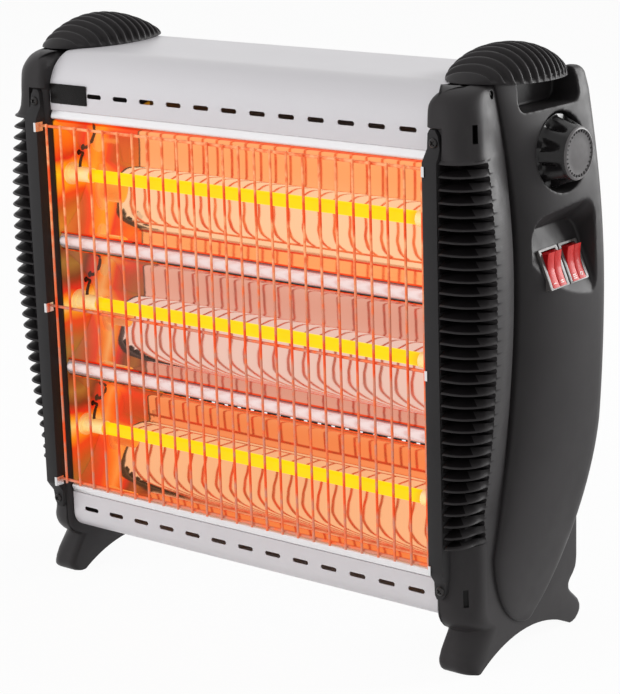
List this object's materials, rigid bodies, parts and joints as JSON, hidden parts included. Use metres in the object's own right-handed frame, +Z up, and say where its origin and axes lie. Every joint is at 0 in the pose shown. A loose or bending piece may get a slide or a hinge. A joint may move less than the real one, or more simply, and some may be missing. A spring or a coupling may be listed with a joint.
{
  "type": "halogen heater",
  "caption": "Free-standing halogen heater with quartz tubes in mirror troughs behind a wire guard, rocker switches, a thermostat knob and carrying grips.",
  "frame": {"origin": "on the floor, at the middle of the heater's width and depth", "axes": "+X towards the side with the controls, +Y from the glowing front to the back, +Z up"},
  "size_m": [0.4765, 0.1667, 0.4527],
  "materials": {
    "body_paint": "smooth light grey enamel",
    "back_paint": "smooth light grey enamel",
    "trim_metal": "bright polished",
    "badge_black": "gloss, blank",
    "end_plate_metal": "bright rolled sheet",
    "trough_mirror": "polished mirror sheet",
    "quartz": "clear fused quartz, lit from inside",
    "hot_filament": "glowing resistance coil",
    "white_ceramic": "unglazed white ceramic",
    "wire_sleeve": "dark heat-proof sleeve",
    "guard_wire": "bright chromed wire",
    "clip_metal": "bright spring steel",
    "charcoal_plastic": "fine satin texture",
    "strip_plastic": "fine satin texture",
    "screw_black": "blackened cross-head",
    "screw_zinc": "zinc plated",
    "thermostat_body": "moulded heat-proof resin",
    "shaft_steel": "turned steel",
    "knob_plastic": "satin skirt with a grey face",
    "bezel_plastic": "satin grey",
    "rocker_red": "translucent red, lit from inside",
    "block_resin": "moulded resin",
    "bush_rubber": "soft black"
  },
  "bodies": {
    "heater": {"top_shell": "body_paint", "bottom_shell": "body_paint", "back_panel": "back_paint", "top_trim": "trim_metal", "bottom_trim": "trim_metal", "badge_plate": "badge_black", "end_plate_left": "end_plate_metal", "end_plate_right": "end_plate_metal", "reflector_lower": "trough_mirror", "reflector_middle": "trough_mirror", "reflector_upper": "trough_mirror", "divider_lower": "trough_mirror", "divider_upper": "trough_mirror", "quartz_tube_lower": "quartz", "quartz_tube_middle": "quartz", "quartz_tube_upper": "quartz", "filament_lower": "hot_filament", "filament_middle": "hot_filament", "filament_upper": "hot_filament", "tube_caps_left": "white_ceramic", "tube_caps_right": "white_ceramic", "lead_wires_left": "wire_sleeve", "lead_wires_right": "wire_sleeve", "guard_uprights": "guard_wire", "guard_rails": "guard_wire", "guard_clips": "clip_metal", "guard_strip_left": "strip_plastic", "guard_strip_right": "strip_plastic", "guard_screws": "screw_black", "side_frame_left": "charcoal_plastic", "side_frame_right": "charcoal_plastic", "side_cover_left": "charcoal_plastic", "side_cover_right": "charcoal_plastic", "grip_cap_left": "charcoal_plastic", "grip_cap_right": "charcoal_plastic", "cover_screws": "screw_zinc", "cap_screws": "screw_black", "body_screws": "screw_zinc", "back_screws": "screw_zinc", "thermostat": "thermostat_body", "switch_housing_front": "bezel_plastic", "switch_housing_rear": "bezel_plastic", "terminal_block": "block_resin", "tilt_switch": "block_resin", "inlet_bush": "bush_rubber", "mains_wires": "wire_sleeve", "control_wires": "wire_sleeve"},
    "knob": {"thermostat_knob": "knob_plastic", "thermostat_shaft": "shaft_steel"},
    "rocker_1": {"rocker_1": "rocker_red"},
    "rocker_2": {"rocker_2": "rocker_red"},
    "rocker_3": {"rocker_3": "rocker_red"},
    "rocker_4": {"rocker_4": "rocker_red"}
  },
  "joints": [
    {"name": "thermostat_turn", "type": "hinge", "parent": "heater", "child": "knob", "pos_m": [0.219, 0.0325, 0.3727], "axis": [1, 0, 0], "range_deg": [-150, 150]},
    {"name": "rocker_1_tip", "type": "hinge", "parent": "heater", "child": "rocker_1", "pos_m": [0.22253, 0.01485, 0.2888], "axis": [0, -1, 0], "range_deg": [0, 24]},
    {"name": "rocker_2_tip", "type": "hinge", "parent": "heater", "child": "rocker_2", "pos_m": [0.22253, 0.02395, 0.2888], "axis": [0, -1, 0], "range_deg": [0, 24]},
    {"name": "rocker_3_tip", "type": "hinge", "parent": "heater", "child": "rocker_3", "pos_m": [0.22253, 0.04105, 0.2888], "axis": [0, -1, 0], "range_deg": [0, 24]},
    {"name": "rocker_4_tip", "type": "hinge", "parent": "heater", "child": "rocker_4", "pos_m": [0.22253, 0.05015, 0.2888], "axis": [0, -1, 0], "range_deg": [0, 24]}
  ]
}
